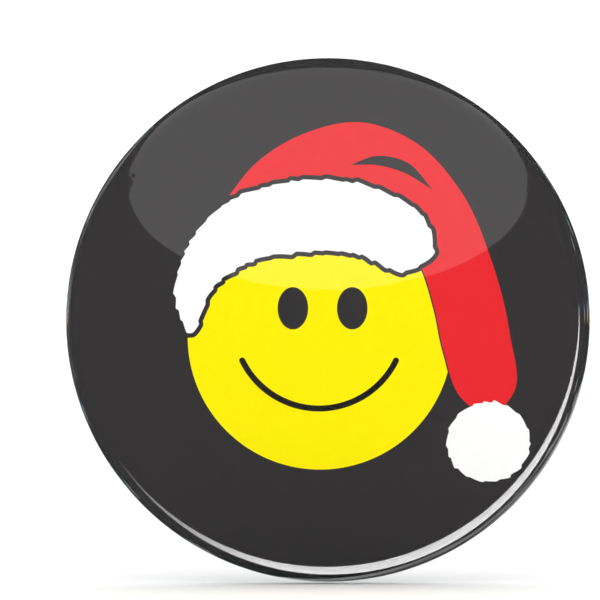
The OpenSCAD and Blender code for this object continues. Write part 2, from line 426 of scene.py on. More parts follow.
def tapered_light(name, radiance):
    """A white light that grows from faint at its left end to full strength."""
    n = Nodes(name)
    here = n.add("ShaderNodeTexCoord")
    apart = n.add("ShaderNodeSeparateXYZ")
    n.link(here.outputs["Generated"], apart.inputs[0])
    grown_at, faintest = 0.34, 0.05
    strength = n.remap(apart.outputs["X"], 0.0, grown_at, faintest * radiance, radiance)
    shader = n.add("ShaderNodeEmission")
    n.link(strength, shader.inputs["Strength"])
    return n.finish(shader)


def clouded_light(name, radiance):
    """A lit sheet with broad soft clouds, so that flat metal mirrors more than one tone."""
    n = Nodes(name)
    here = n.add("ShaderNodeTexCoord")
    cloud = n.noise(here.outputs["Object"], 7.0, 1)
    shader = n.add("ShaderNodeEmission", Color=(1, 1, 1, 1))
    n.link(n.remap(cloud, 0.38, 0.62, 0.15 * radiance, 1.6 * radiance), shader.inputs["Strength"])
    return n.finish(shader)


def floor_material(shade):
    """Pale painted floor with a very soft mottle."""
    n = Nodes("floor_paint")
    cloud = n.noise(n.place(), 0.02, 3)
    base = linear(shade)
    dull = tuple(c * 0.985 for c in base[:3]) + (1,)
    shader = n.add("ShaderNodeBsdfDiffuse")
    n.link(n.mix(cloud, dull, base), shader.inputs["Color"])
    return n.finish(shader)


# ------------------------------------------------------------------ mesh helpers

def new_piece(name, mesh, materials):
    """Links a mesh as a piece with its materials."""
    for material in materials:
        mesh.materials.append(material)
    piece = bpy.data.objects.new(name, mesh)
    bpy.context.scene.collection.objects.link(piece)
    return piece


def mesh_from(name, points, faces, slots=None, smooth=True):
    mesh = bpy.data.meshes.new(name)
    mesh.from_pydata([tuple(p) for p in points], [], faces)
    mesh.polygons.foreach_set("use_smooth", [smooth] * len(mesh.polygons))
    if slots is not None:
        mesh.polygons.foreach_set("material_index", slots)
    mesh.update()
    return mesh


def arc(centre_r, centre_h, radius, start, end, steps):
    """Points (r, h) on an arc; angles in degrees from +r towards +h."""
    angles = [math.radians(start + (end - start) * i / steps) for i in range(steps + 1)]
    return [(centre_r + radius * math.cos(a), centre_h + radius * math.sin(a)) for a in angles]


def at(r, h, angle):
    """The place of a point of the half section, turned by angle about the badge's axis."""
    return Vector((r * math.cos(angle), BACK_Y - h, r * math.sin(angle)))


def lathe(points, segments, shift=None, closed=True):
    """Vertices and faces of a section (r, h) turned about the badge's axis. r = 0 makes a pole."""
    verts, rings = [], []
    for k, (r, h) in enumerate(points):
        if r < 1e-9:
            rings.append([len(verts)] * segments)
            verts.append(at(0, h, 0))
            continue
        rings.append(list(range(len(verts), len(verts) + segments)))
        for i in range(segments):
            angle = TURN * i / segments
            dr, dh = shift(k, angle) if shift else (0, 0)
            verts.append(at(r + dr, h + dh, angle))
    faces = []
    pairs = list(zip(rings, rings[1:]))
    if closed and points[0][0] > 1e-9:
        pairs.append((rings[-1], rings[0]))
    for one, two in pairs:
        for i in range(segments):
            j = (i + 1) % segments
            corners = [one[i], one[j], two[j], two[i]]
            face = [c for n, c in enumerate(corners) if c not in corners[:n]]
            if len(face) > 2:
                faces.append(face)
    return verts, faces


def sweep(path, section, frames, caps=True):
    """Vertices and faces of a section carried along a path. section(k) gives (u, v) pairs."""
    verts, faces = [], []
    count = len(section(0))
    for k, (point, (across, up)) in enumerate(zip(path, frames)):
        verts += [point + across * u + up * v for u, v in section(k)]
    for k in range(len(path) - 1):
        for i in range(count):
            j = (i + 1) % count
            a, b = k * count, (k + 1) * count
            faces.append([a + i, a + j, b + j, b + i])
    if caps:
        last = (len(path) - 1) * count
        faces.append(list(range(count))[::-1])
        faces.append([last + i for i in range(count)])
    return verts, faces


def wire_mesh(name, path, radii, sides=28):
    """A round wire along a path of points, with its frames carried along without twist."""
    path = [Vector(p) for p in path]
    frames = []
    across = None
    for k in range(len(path)):
        ahead = (path[min(k + 1, len(path) - 1)] - path[max(k - 1, 0)]).normalized()
        if across is None:
            across = ahead.orthogonal().normalized()
        across = (across - ahead * across.dot(ahead)).normalized()
        frames.append((across, ahead.cross(across)))
    ring = [(math.cos(TURN * i / sides), math.sin(TURN * i / sides)) for i in range(sides)]
    verts, faces = sweep(path, lambda k: [(radii[k] * u, radii[k] * v) for u, v in ring], frames)
    return mesh_from(name, verts, faces)


def outward(mesh):
    """Turns every face of a closed mesh outwards."""
    made = bmesh.new()
    made.from_mesh(mesh)
    bmesh.ops.remove_doubles(made, verts=made.verts, dist=2e-7)
    bmesh.ops.recalc_face_normals(made, faces=made.faces)
    made.to_mesh(mesh)
    made.free()
    return mesh


# ------------------------------------------------------------------ the badge's section

def dome_middle(shape):
    """Height of the dome's centre and the angle, from the axis, where the shoulder begins."""
    across = BADGE_R - shape.shoulder_radius
    reach = shape.dome_radius - shape.shoulder_radius
    drop = math.sqrt(reach ** 2 - across ** 2)
    return shape.side_height - drop, math.degrees(math.asin(across / reach))


def face_height(shape, r, inside=0.0):
    """Height of the face at radius r, for the layer that lies inside the outer face."""
    middle, lean = dome_middle(shape)
    across = BADGE_R - shape.shoulder_radius
    if r <= (shape.dome_radius - inside) * math.sin(math.radians(lean)):
        return middle + math.sqrt((shape.dome_radius - inside) ** 2 - r * r)
    radius = shape.shoulder_radius - inside
    return shape.side_height + math.sqrt(max(0.0, radius ** 2 - (r - across) ** 2))


def face_normal(shape, x, z):
    """Outward normal of the film at a place on the face."""
    r = math.hypot(x, z)
    _, lean = dome_middle(shape)
    across = BADGE_R - shape.shoulder_radius
    if r <= shape.dome_radius * math.sin(math.radians(lean)):
        tilt = math.asin(r / shape.dome_radius)
    else:
        tilt = math.asin(min(1.0, (r - across) / shape.shoulder_radius))
    if r < 1e-9:
        return Vector((0, -1, 0))
    return Vector((math.sin(tilt) * x / r, -math.cos(tilt), math.sin(tilt) * z / r))


def layer_path(shape, inside, top, from_r=0.0):
    """Outer line of a layer from the axis, or from_r, round the rim and up to top in the seam.

    Each point is (r, h, wrap), where wrap grows from 0 at the side to 1 at the fold."""
    middle, lean = dome_middle(shape)
    dome = shape.dome_radius - inside
    across = BADGE_R - shape.shoulder_radius
    shoulder = shape.shoulder_radius - inside
    start = math.degrees(math.asin(from_r / dome)) if from_r < dome * math.sin(math.radians(lean)) else None
    points = []
    if start is not None:
        points += [(r, h, 0) for r, h in arc(0, middle, dome, 90 - start, 90 - lean, 40)]
        points[0] = (from_r, points[0][1], 0)
        first = 90 - lean
    else:
        first = math.degrees(math.acos((from_r - across) / shoulder))
    turned = arc(across, shape.side_height, shoulder, first, 0, SHOULDER_STEPS)
    points += [(r, h, 0) for r, h in (turned[1:] if points else turned)]
    rim_x = BADGE_R - shape.rim_radius
    rolled = arc(rim_x, shape.rim_radius, shape.rim_radius - inside, 0, -90, 14)
    points += [(r, h, 0.85 * (i / 14) ** 2) for i, (r, h) in enumerate(rolled)]
    wrap_x = BADGE_R - shape.wrap_width
    folded = arc(
        wrap_x + shape.fold_radius, shape.fold_radius, shape.fold_radius - inside, -90, -180, 6
    )
    points += [(r, h, 0.9 + 0.1 * i / 6) for i, (r, h) in enumerate(folded)]
    climb = [folded[-1][1] + (top - folded[-1][1]) * i / 4 for i in range(1, 5)]
    points += [(wrap_x + inside, h, 1.0) for h in climb]
    return points


def pleats(shape):
    """Depth of the gathered pleats as a function of the angle, the same for film and paper."""
    rng = random.Random(57)
    count = shape.pleat_count
    folds = []
    for i in range(count):
        where = TURN * (i + rng.uniform(-0.38, 0.38)) / max(1, count)
        folds.append((where, rng.uniform(0.003, 0.014), rng.uniform(0.15, 1.0) ** 1.5))
    waves = [(rng.randint(3, 11), rng.uniform(0, TURN), rng.uniform(0.04, 0.12)) for _ in range(5)]

    def depth(angle):
        total = sum(a * (0.5 + 0.5 * math.sin(n * angle + p)) for n, p, a in waves)
        for where, width, size in folds:
            off = abs((angle - where + math.pi) % TURN - math.pi)
            if off < 3 * width:
                total += size * math.exp(-((off / width) ** 2))
        return total * shape.pleat_depth
    table = [depth(TURN * i / shape.segments) for i in range(shape.segments)]
    return lambda angle: table[round(angle / TURN * shape.segments) % shape.segments]


def pleat_shift(path, depth):
    """How a pleat moves each point of a layer: out from the seam, and in from the back plane."""
    def shift(k, angle):
        wrap = path[k][2]
        if wrap <= 0:
            return 0.0, 0.0
        gathered = depth(angle) * wrap ** 1.3
        return gathered, gathered * max(0.0, 1 - abs(wrap - 0.8) / 0.75)
    return shift


# ------------------------------------------------------------------ artwork, in millimetres

def oval(x, z, half_x, half_z, steps=72):
    return [
        (x + half_x * math.cos(TURN * i / steps), z + half_z * math.sin(TURN * i / steps))
        for i in range(steps)
    ]


def smile(x, z, radius, half_angle, stroke, steps=48):
    """A round-ended arc stroke that opens upwards."""
    low, high = math.radians(-90 - half_angle), math.radians(-90 + half_angle)
    outer = [low + (high - low) * i / steps for i in range(steps + 1)]
    half = stroke / 2
    points = [(x + (radius + half) * math.cos(a), z + (radius + half) * math.sin(a)) for a in outer]

    def cap(angle, start):
        middle = (x + radius * math.cos(angle), z + radius * math.sin(angle))
        turns = [start + math.pi * i / 8 for i in range(1, 8)]
        return [(middle[0] + half * math.cos(t), middle[1] + half * math.sin(t)) for t in turns]
    points += cap(high, high)
    points += [(x + (radius - half) * math.cos(a), z + (radius - half) * math.sin(a)) for a in outer[::-1]]
    points += cap(low, low + math.pi)
    return points


def outline(points, sharp=(), step=0.22):
    """A closed smooth line through points, with corners at the indexes in sharp."""
    count = len(points)
    found = []
    for i in range(count):
        p0, p1, p2, p3 = (points[(i + k) % count] for k in (-1, 0, 1, 2))
        reach = math.dist(p1, p2)

        def slope(before, here, after, corner):
            if corner:
                return (p2[0] - p1[0], p2[1] - p1[1])
            one, two = math.dist(before, here), math.dist(here, after)
            return tuple(
                reach * ((b - a) * one / two + (a - c) * two / one) / (one + two)
                for a, b, c in zip(here, after, before)
            )

        m1 = slope(p0, p1, p2, i in sharp)
        m2 = slope(p1, p2, p3, (i + 1) % count in sharp)
        steps = max(2, round(reach / step))
        for k in range(steps):
            t = k / steps
            found.append(tuple(
                (2 * t ** 3 - 3 * t ** 2 + 1) * a + (t ** 3 - 2 * t ** 2 + t) * b
                + (-2 * t ** 3 + 3 * t ** 2) * c + (t ** 3 - t ** 2) * d
                for a, b, c, d in zip(p1, m1, p2, m2)
            ))
    return found


def tufted(line, depth, pitch, seed):
    """The line with soft tufts of fur: each rises slowly and drops off at its end."""
    rng = random.Random(seed)
    lengths = [math.dist(a, b) for a, b in zip(line, line[1:] + line[:1])]
    total = sum(lengths)
    tufts, here = [], 0.0
    while here < total:
        size = pitch * rng.uniform(0.55, 1.5)
        tufts.append((here, min(size, total - here), depth * rng.uniform(0.25, 1.0)))
        here += size
    found, along, current = [], 0.0, 0
    for i, point in enumerate(line):
        before, after = line[i - 1], line[(i + 1) % len(line)]
        dx, dz = after[0] - before[0], after[1] - before[1]
        size = math.hypot(dx, dz) or 1.0
        while current + 1 < len(tufts) and along >= tufts[current + 1][0]:
            current += 1
        start, span, rise = tufts[current]
        t = (along - start) / max(span, 1e-9)
        push = rise * (t ** 1.4 if t < 0.82 else 0.757 * (1 - t) / 0.18)
        found.append((point[0] + dz / size * push, point[1] - dx / size * push))
        along += lengths[i]
    return found


def grown(line, width):
    """The line moved outwards by width. The line runs anticlockwise."""
    found = []
    for i, point in enumerate(line):
        before, after = line[i - 2], line[(i + 2) % len(line)]
        dx, dz = after[0] - before[0], after[1] - before[1]
        size = math.hypot(dx, dz) or 1.0
        found.append((point[0] + dz / size * width, point[1] - dx / size * width))
    return found


def anticlockwise(line):
    area = sum(a[0] * b[1] - b[0] * a[1] for a, b in zip(line, line[1:] + line[:1]))
    return line if area > 0 else line[::-1]


def cap_line():
    """A plain drooping cap: up from the left, over the head and down the right side to its tip."""
    over = [
        (-11.5, 12.6), (-8.0, 17.0), (-2.5, 20.4), (3.5, 21.6), (9.5, 19.4), (14.5, 14.0),
        (17.8, 6.5), (19.8, -1.5), (20.2, -8.0),
    ]
    under = [
        (17.6, -10.4), (14.6, -8.6), (12.6, -3.5), (11.5, 1.5), (10.0, 6.0), (6.0, 11.0),
        (0.0, 13.0), (-6.0, 12.8),
    ]
    return anticlockwise(outline(over + under, {0}))


def fold_line():
    """One slim crease where the cap falls over."""
    points = [(2.4, 16.9), (5.2, 17.9), (8.6, 17.2), (11.4, 14.2), (8.2, 16.1), (5.2, 16.9)]
    return anticlockwise(outline(points, {0, 3}))


def fur_line():
    """The fur band: along the brow, round its right end and back over the top to its left tip."""
    brow = [(-15.0, -1.4), (-12.6, 3.6), (-8.6, 6.4), (-3.0, 7.5), (3.5, 7.2), (8.4, 5.4)]
    back = [
        (11.2, 7.2), (10.4, 11.0), (6.0, 13.9), (0.0, 15.2), (-6.5, 14.5), (-11.8, 12.2),
        (-15.3, 7.8), (-16.6, 2.6),
    ]
    return anticlockwise(outline(brow + back, step=0.12))


def artwork(art):
    """Each printed shape with its ink, from the bottom up."""
    fur = tufted(fur_line(), 0.42, 1.7, 11)
    bobble = tufted(oval(17.5, -13.3, 4.5, 4.3, 240), 0.42, 1.5, 29)
    cap = cap_line()
    return [
        ("face", oval(-0.9, -1.87, art.face_radius / MM, art.face_radius / MM, 240)),
        ("ground", grown(cap, 0.16)),
        ("cap", cap),
        ("ground", fold_line()),
        ("ground", grown(fur, art.fur_line / MM)),
        ("paper", fur),
        ("paper", bobble),
        ("ground", oval(-3.85, 1.3, 1.66, 2.3)),
        ("ground", oval(2.6, 1.3, 1.66, 2.3)),
        ("line", smile(-1.0, -0.3, art.smile_radius / MM, 64, art.stroke / MM)),
    ]


def inside(points, line):
    """Which points lie inside a closed line."""
    x, z = points[:, 0], points[:, 1]
    found = np.zeros(len(points), bool)
    for (x0, z0), (x1, z1) in zip(line, line[1:] + line[:1]):
        if z0 == z1:
            continue
        crosses = (z0 > z) != (z1 > z)
        found ^= crosses & (x < (x1 - x0) * (z - z0) / (z1 - z0) + x0)
    return found


INKS = ["ground", "face", "cap", "paper", "line", "trim"]


def printed_face(shape, art, inside_by):
    """Vertices, faces and inks of the flat print, laid on the dome."""
    edge = art.art_radius / MM
    count = shape.segments
    points, edges = [], []

    def add(line):
        start = len(points)
        points.extend(line)
        edges.extend((start + i, start + (i + 1) % len(line)) for i in range(len(line)))

    shapes = [(ink, [(x * art.scale, z * art.scale) for x, z in line]) for ink, line in artwork(art)]
    add(oval(0, 0, edge, edge, count))
    for _, line in shapes:
        add(line)
    fine, coarse, fine_band = 0.35, 0.9, 1.5
    radius = edge - fine
    while radius > 0.4:
        around = min(count // 2, max(12, round(TURN * radius / coarse)))
        points += oval(0, 0, radius, radius, around)
        radius -= fine if radius > edge - fine_band else coarse
    made = delaunay_2d_cdt([Vector(p) for p in points], edges, [], 1, 1e-5)
    flat, triangles = made[0], made[2]
    places = np.array([tuple(p) for p in flat])
    middles = np.array([places[list(t)].mean(axis=0) for t in triangles])
    inks = np.zeros(len(triangles), int)
    for ink, line in shapes:
        inks[inside(middles, line)] = INKS.index(ink)
    verts = []
    for x, z in places:
        h = face_height(shape, math.hypot(x, z) * MM, inside_by)
        verts.append(Vector((x * MM, BACK_Y - h, z * MM)))
    return verts, [list(t) for t in triangles], list(inks)


# ------------------------------------------------------------------ pieces

def make_printed_disc(scene):
    shape, art = scene.badge_shape, scene.badge_artwork
    under = shape.film_thickness + shape.layer_gap
    verts, faces, inks = printed_face(shape, art, under)
    top = shape.tuck_height - PAPER_SHORT
    outer = layer_path(shape, under, top, art.art_radius)
    inner = layer_path(shape, under + shape.paper_thickness, top)
    path = outer + inner[::-1]
    bend = pleat_shift(path, pleats(shape))
    around, strips = lathe([p[:2] for p in path], shape.segments, bend, closed=False)
    trim_from = SHOULDER_STEPS + 1
    for k, face in enumerate(strips):
        inks.append(INKS.index("ground" if k // shape.segments < trim_from else "trim"))
        faces.append([len(verts) + v for v in face])
    verts += around
    mesh = outward(mesh_from("printed_disc", verts, faces, inks))
    shades = {"ground": art.ground, "face": art.face, "cap": art.cap, "paper": art.paper, "line": art.line}
    materials = [ink_material(f"ink_{ink}", shades[ink]) for ink in INKS[:-1]]
    materials.append(trim_material(art.trim, art.trim_shade))
    piece = new_piece("printed_disc_art", mesh, materials)
    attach(piece, BADGE_BODY)
    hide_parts("printed_disc")


def make_clear_film(scene):
    shape = scene.badge_shape
    outer = layer_path(shape, 0, shape.tuck_height)
    inner = layer_path(shape, shape.film_thickness, shape.tuck_height)
    path = outer + inner[::-1]
    bend = pleat_shift(path, pleats(shape))
    verts, faces = lathe([p[:2] for p in path], shape.segments, bend)
    mesh = outward(mesh_from("clear_film", verts, faces))
    piece = new_piece("clear_film_skin", mesh, [film_material(BACK_Y - shape.side_height)])
    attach(piece, BADGE_BODY)
    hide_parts("clear_film")


def make_front_shell(scene):
    """The shell keeps its CAD mesh and gets a tinplate finish."""
    shell = frame["nodes"]["front_shell"]
    finish = metal_material("shell_tinplate", scene.badge_back.tin, (0.06, 1, 1.6), (0.12, 0.22))
    shell.data.materials.clear()
    shell.data.materials.append(finish)


def plate_section(shape, back):
    """Closed half section of the back plate, from the floor's middle out to the lock flange."""
    t = back.plate_thickness
    out = BADGE_R - shape.wrap_width - back.seam_gap
    ridge_x, ridge_h = out - back.ridge_radius, back.ridge_drop + back.ridge_radius
    wall = ridge_x - back.ridge_radius
    corner_x, corner_h = wall - back.floor_corner, back.floor_depth - back.floor_corner
    lock_h = shape.tuck_height + LOCK_ABOVE
    bend_x = out + back.lock_bend

    def side(grow):
        floor = [(corner_x * i / 8, back.floor_depth + grow) for i in range(8)]
        line = floor + arc(corner_x, corner_h, back.floor_corner + grow, 90, 0, 8)
        line += arc(ridge_x, ridge_h, back.ridge_radius - grow, 180, 360, 28)
        line += arc(bend_x, lock_h, back.lock_bend + grow, 180, 90, 6)
        return line + [(bend_x + back.lock_reach, lock_h + back.lock_bend + grow)]
    return side(0) + side(t)[::-1]


def rounded_block(low, high, radius):
    """A block whose upright edges, along Y, are rounded."""
    x0, x1, z0, z1 = low.x + radius, high.x - radius, low.z + radius, high.z - radius
    ring = []
    for cx, cz, start in ((x1, z1, 0), (x0, z1, 90), (x0, z0, 180), (x1, z0, 270)):
        for i in range(5):
            a = math.radians(start + 90 * i / 4)
            ring.append((cx + radius * math.cos(a), cz + radius * math.sin(a)))
    verts = [Vector((x, y, z)) for y in (low.y, high.y) for x, z in ring]
    count = len(ring)
    faces = [list(range(count)), [count + i for i in range(count)][::-1]]
    faces += [[i, i + count, (i + 1) % count + count, (i + 1) % count] for i in range(count)]
    return outward(mesh_from("cutter", verts, faces, smooth=False))


def strip(x0, x1, path, thickness, edge=0.00005):
    """A bent strip of sheet across x0 to x1. path holds (z, h) points of its middle line."""
    half_w, half_t = (x1 - x0) / 2 - edge, thickness / 2 - edge
    ring = []
    corners = ((half_w, half_t), (-half_w, half_t), (-half_w, -half_t), (half_w, -half_t))
    for quarter, (cu, cv) in enumerate(corners):
        for i in range(4):
            a = math.radians(90 * quarter + 90 * i / 3)
            ring.append((cu + edge * math.cos(a), cv + edge * math.sin(a)))
    points = [Vector(((x0 + x1) / 2, BACK_Y - h, z)) for z, h in path]
    frames = []
    for k in range(len(points)):
        ahead = (points[min(k + 1, len(points) - 1)] - points[max(k - 1, 0)]).normalized()
        frames.append((ALONG, ahead.cross(ALONG)))
    return sweep(points, lambda k: ring, frames)


class PinPlan:
    """Places of the pin's parts, from the hinge and the pin's sizes."""

    def __init__(self, scene):
        pin = scene.badge_pin
        self.pin = pin
        self.bent = pin.needle_length - pin.knee_at
        self.leg_start = self.at(0, -pin.coil_radius, -pin.coil_half)

    def at(self, along, away, up):
        """A point in the coil's own frame."""
        return HINGE_POINT + ALONG * along + AWAY * away + HINGE_AXIS * up

    def needle(self, distance):
        """A point of the closed needle's axis, that far past its knee."""
        pin = self.pin
        lean = pin.knee_bend
        return self.at(
            pin.knee_at + distance * math.cos(lean),
            pin.coil_radius - distance * math.sin(lean),
            pin.coil_half,
        )

    def coil(self, turn):
        """A point of the coil, for turn from 0 at the fixed leg to 1 at the needle."""
        pin = self.pin
        angle = -math.pi / 2 - TURN * pin.coil_turns * turn
        return self.at(
            pin.coil_radius * math.cos(angle),
            pin.coil_radius * math.sin(angle),
            pin.coil_half * (2 * turn - 1),
        )


def make_back_plate(scene):
    shape, back, plan = scene.badge_shape, scene.badge_back, PinPlan(scene)
    t = back.plate_thickness
    verts, faces = lathe(plate_section(shape, back), 480)
    mesh = outward(mesh_from("back_plate", verts, faces))
    finish = metal_material("back_tinplate", back.tin, (0.05, 1, 1.4), (0.03, 0.07))
    piece = new_piece("back_plate_tin", mesh, [finish])

    # foot is the radius of each bend where a strip leaves the floor.
    floor_h = back.floor_depth
    middle_h = floor_h + t / 2
    foot, window_play, strip_thinner = 0.00025, 0.00005, 0.00001
    leg = plan.leg_start
    leg_h = BACK_Y - leg.y
    round_leg = plan.pin.wire / 2 + back.strap_gap + t / 2
    holes, strips = [], []
    for distance in (back.strap_near, back.strap_far):
        x0 = HINGE_POINT.x + distance - back.strap_width / 2
        x1 = x0 + back.strap_width
        half = round_leg + foot
        holes.append((Vector((x0, 0, leg.z - half)), Vector((x1, 0, leg.z + half))))
        rise = arc(leg.z - half, middle_h - foot, foot, 90, 0, 5)
        over = arc(leg.z, leg_h, round_leg, 180, 360, 18)
        fall = arc(leg.z + half, middle_h - foot, foot, 180, 90, 5)
        ends = ((leg.z - half - foot / 6, middle_h), (leg.z + half + foot / 6, middle_h))
        strips.append((x0, x1, [ends[0], *rise, *over, *fall, ends[1]]))

    tip = plan.needle(plan.bent - back.catch_back)
    tip_h = BACK_Y - tip.y
    x0, x1 = tip.x - back.catch_width / 2, tip.x + back.catch_width / 2
    stem = back.catch_radius + t / 2
    tab = floor_h - tip_h + back.catch_radius * back.catch_reach
    holes.append((
        Vector((x0 - window_play, 0, tip.z + back.catch_radius - tab)),
        Vector((x1 + window_play, 0, tip.z + stem + foot)),
    ))
    root = arc(tip.z + stem + foot, middle_h - foot, foot, 90, 180, 5)
    lip = arc(tip.z, tip_h, stem, 0, -math.degrees(back.catch_reach), 12)
    strips.append((x0, x1, [(tip.z + stem + foot + foot / 6, middle_h), *root, *lip]))

    for low, high in holes:
        low.y, high.y = BACK_Y - floor_h - 2 * t, BACK_Y - floor_h + t
        cutter = bpy.data.objects.new("cutter", rounded_block(low, high, 0.0001))
        bpy.context.scene.collection.objects.link(cutter)
        cut = piece.modifiers.new("cut", "BOOLEAN")
        cut.operation, cut.solver, cut.object = "DIFFERENCE", "EXACT", cutter
        bpy.context.view_layer.update()
        whole = bpy.data.meshes.new_from_object(piece.evaluated_get(bpy.context.evaluated_depsgraph_get()))
        piece.modifiers.clear()
        piece.data = whole
        bpy.data.objects.remove(cutter)

    made = bmesh.new()
    made.from_mesh(piece.data)
    for x0, x1, path in strips:
        points, faces = strip(x0, x1, path, t - strip_thinner)
        new = [made.verts.new(p) for p in points]
        fresh = [made.faces.new([new[i] for i in face]) for face in faces]
        bmesh.ops.recalc_face_normals(made, faces=fresh)
        for face in fresh:
            face.smooth = True
    made.to_mesh(piece.data)
    made.free()
    piece.data.set_sharp_from_angle(angle=math.radians(35))
    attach(piece, BADGE_BODY)
    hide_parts("back_plate")


def make_pin(scene):
    plan = PinPlan(scene)
    pin = plan.pin
    r = pin.wire / 2
    finish = metal_material("nickel_wire", pin.nickel, (0.04, 1.2, 1.2), (0.10, 0.18), 0.2)

    # A short arc of each straight part runs on inside the coil, so that the wire stays whole
    # when the coil winds up.
    hidden = 0.06
    inner = [plan.coil(hidden * (1 - i / 8)) for i in range(8)]
    leg = [plan.leg_start + ALONG * (pin.leg * i / 12) for i in range(13)]
    radii = [r * 0.985] * 8 + [r] * 12 + [r * 0.9]
    leg.insert(12, leg[11] + ALONG * (pin.leg / 12 - r * 0.2))
    radii.insert(20, r)
    leg_piece = new_piece("pin_leg", wire_mesh("pin_leg", inner + leg, radii), [finish])
    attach(leg_piece, BADGE_BODY)
    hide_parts("pin_spring")

    steps = 96
    coil = [plan.coil(i / steps) for i in range(steps + 1)]
    coil_piece = new_piece("pin_coil", wire_mesh("pin_coil", coil, [r] * len(coil)), [finish])
    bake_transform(coil_piece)

    arc_in = [plan.coil(1 - hidden * (1 - i / 8)) for i in range(8)]
    start = plan.at(0, pin.coil_radius, pin.coil_half)
    straight = [start + ALONG * (pin.knee_at * k) for k in (0, 0.45, 0.75)]
    knee = plan.needle(0)
    shank = plan.bent - pin.taper
    after = [plan.needle(d) for d in (0.0005, *[shank * i / 10 for i in range(1, 11)])]
    point = [plan.needle(shank + pin.taper * (i / 16)) for i in range(1, 17)]
    narrowing = [r * max(0.1, (1 - (i / 16) ** 1.25)) for i in range(1, 17)]
    path = arc_in + straight + [knee] + after + point
    radii = [r * 0.985] * 8 + [r] * (len(straight) + 1 + len(after)) + narrowing
    needle = new_piece("pin_needle_wire", wire_mesh("pin_needle", path, radii), [finish])
    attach(needle, NEEDLE_BODY)
    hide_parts("pin_needle")


# ------------------------------------------------------------------ stage

def camera_place(stage):
    return Vector((-stage.look_left, -stage.camera_distance, stage.look_up))


def seen_light(scene, x, z, distance):
    """Where a light has to be so that the camera sees it mirrored at a place on the face."""
    shape = scene.badge_shape
    place = Vector((x, BACK_Y - face_height(shape, math.hypot(x, z)), z))
    ray = (place - camera_place(scene.badge_stage)).normalized()
    normal = face_normal(shape, x, z)
    away = ray - normal * (2 * ray.dot(normal))
    return place + away * distance


def light_sheet(name, grid, material):
    """A lit sheet through a grid of points, which only gloss shows."""
    rows, columns = len(grid), len(grid[0])
    verts = [p for row in grid for p in row]
    faces = [
        [r * columns + c, r * columns + c + 1, (r + 1) * columns + c + 1, (r + 1) * columns + c]
        for r in range(rows - 1) for c in range(columns - 1)
    ]
    sheet = new_piece(name, mesh_from(name, verts, faces), [material])
    sheet.visible_camera = False
    sheet.visible_diffuse = False
    sheet.visible_shadow = False
    sheet.visible_transmission = False
    return sheet


def edge_strip(scene, start, end, steps, rows, radius):
    """A grid of light places mirrored along the edge, from start to end in degrees.

    radius(along, across) is the mirrored place's radius as a part of the badge's, for along and
    across from 0 to 1."""
    grid = [[] for _ in range(rows)]
    for k in range(steps + 1):
        a = math.radians(start + (end - start) * k / steps)
        for i, row in enumerate(grid):
            r = BADGE_R * radius(k / steps, i / (rows - 1))
            row.append(seen_light(scene, r * math.cos(a), r * math.sin(a), STRIP_LIGHT_AWAY))
    return grid


def bright_line(along, across):
    """The bright edge line, which tapers to both ends."""
    middle, half = 0.951, 0.0167
    return middle + half * math.sin(math.pi * along) * (2 * across - 1)


def rim_band(along, across):
    """The faint band between the bright line and the outline, closer set towards the outline."""
    depth, outermost = 0.027, 0.9992
    inner = 1 - depth * math.sin(math.pi * along) ** 0.6
    return inner + (outermost - inner) * across ** 0.5


def gloss_lights(scene):
    """The oval top light, the strip that draws the bright edge line, and the rim's faint strip."""
    stage = scene.badge_stage
    oval_grid = []
    for i in range(25):
        size = i / 24
        row = []
        for k in range(97):
            a = TURN * k / 96
            x = stage.gloss_width * size * math.cos(a)
            height = stage.gloss_above if math.sin(a) > 0 else stage.gloss_below
            z = stage.gloss_rise + height * size * math.sin(a)
            row.append(seen_light(scene, x, z, TOP_LIGHT_AWAY))
        oval_grid.append(row)
    light_sheet("top_light", oval_grid, light_material("top_light", (1, 1, 1), stage.gloss_light))

    line_grid = edge_strip(scene, 212, 364, 120, 5, bright_line)
    light_sheet("edge_light", line_grid, tapered_light("edge_light", stage.edge_light))
    rim_grid = edge_strip(scene, 258, 348, 60, 13, rim_band)
    light_sheet("rim_light", rim_grid, clouded_light("rim_light", stage.rim_light))


def fringed_light(name, radiance):
    """A soft light that fades to blue at its top and to cream at its bottom."""
    n = Nodes(name)
    here = n.add("ShaderNodeTexCoord")
    apart = n.add("ShaderNodeSeparateXYZ")
    n.link(here.outputs["Generated"], apart.inputs[0])
    fade = n.add("ShaderNodeValToRGB")
    stops = [
        (0.0, (0.04, 0.03, 0.02)), (0.22, (1.0, 0.86, 0.62)), (0.38, (1, 1, 1)),
        (0.66, (1, 1, 1)), (0.82, (0.35, 0.78, 1.0)), (1.0, (0.01, 0.06, 0.16)),
    ]
    while len(fade.color_ramp.elements) < len(stops):
        fade.color_ramp.elements.new(0.5)
    for element, (position, tone) in zip(fade.color_ramp.elements, stops):
        element.position = position
        element.color = (*tone, 1)
    n.link(apart.outputs["Z"], fade.inputs["Fac"])
    shader = n.add("ShaderNodeEmission", Strength=radiance)
    n.link(fade.outputs["Color"], shader.inputs["Color"])
    return n.finish(shader)


def back_lights(scene):
    """Small soft lights behind, so spaced that the plate mirrors one from most sides."""
    glow = fringed_light("back_light", scene.badge_stage.back_light)
    for around in range(-40, 80, 22):
        for up in range(-29, 20, 15):
            a, e = math.radians(around + 0.4), math.radians(up)
            toward = Vector((math.sin(a) * math.cos(e), math.cos(a) * math.cos(e), math.sin(e)))
            panel("back_light", toward * BACK_LIGHT_AWAY, (0, 0, 0), 0.046, 0.044, glow)


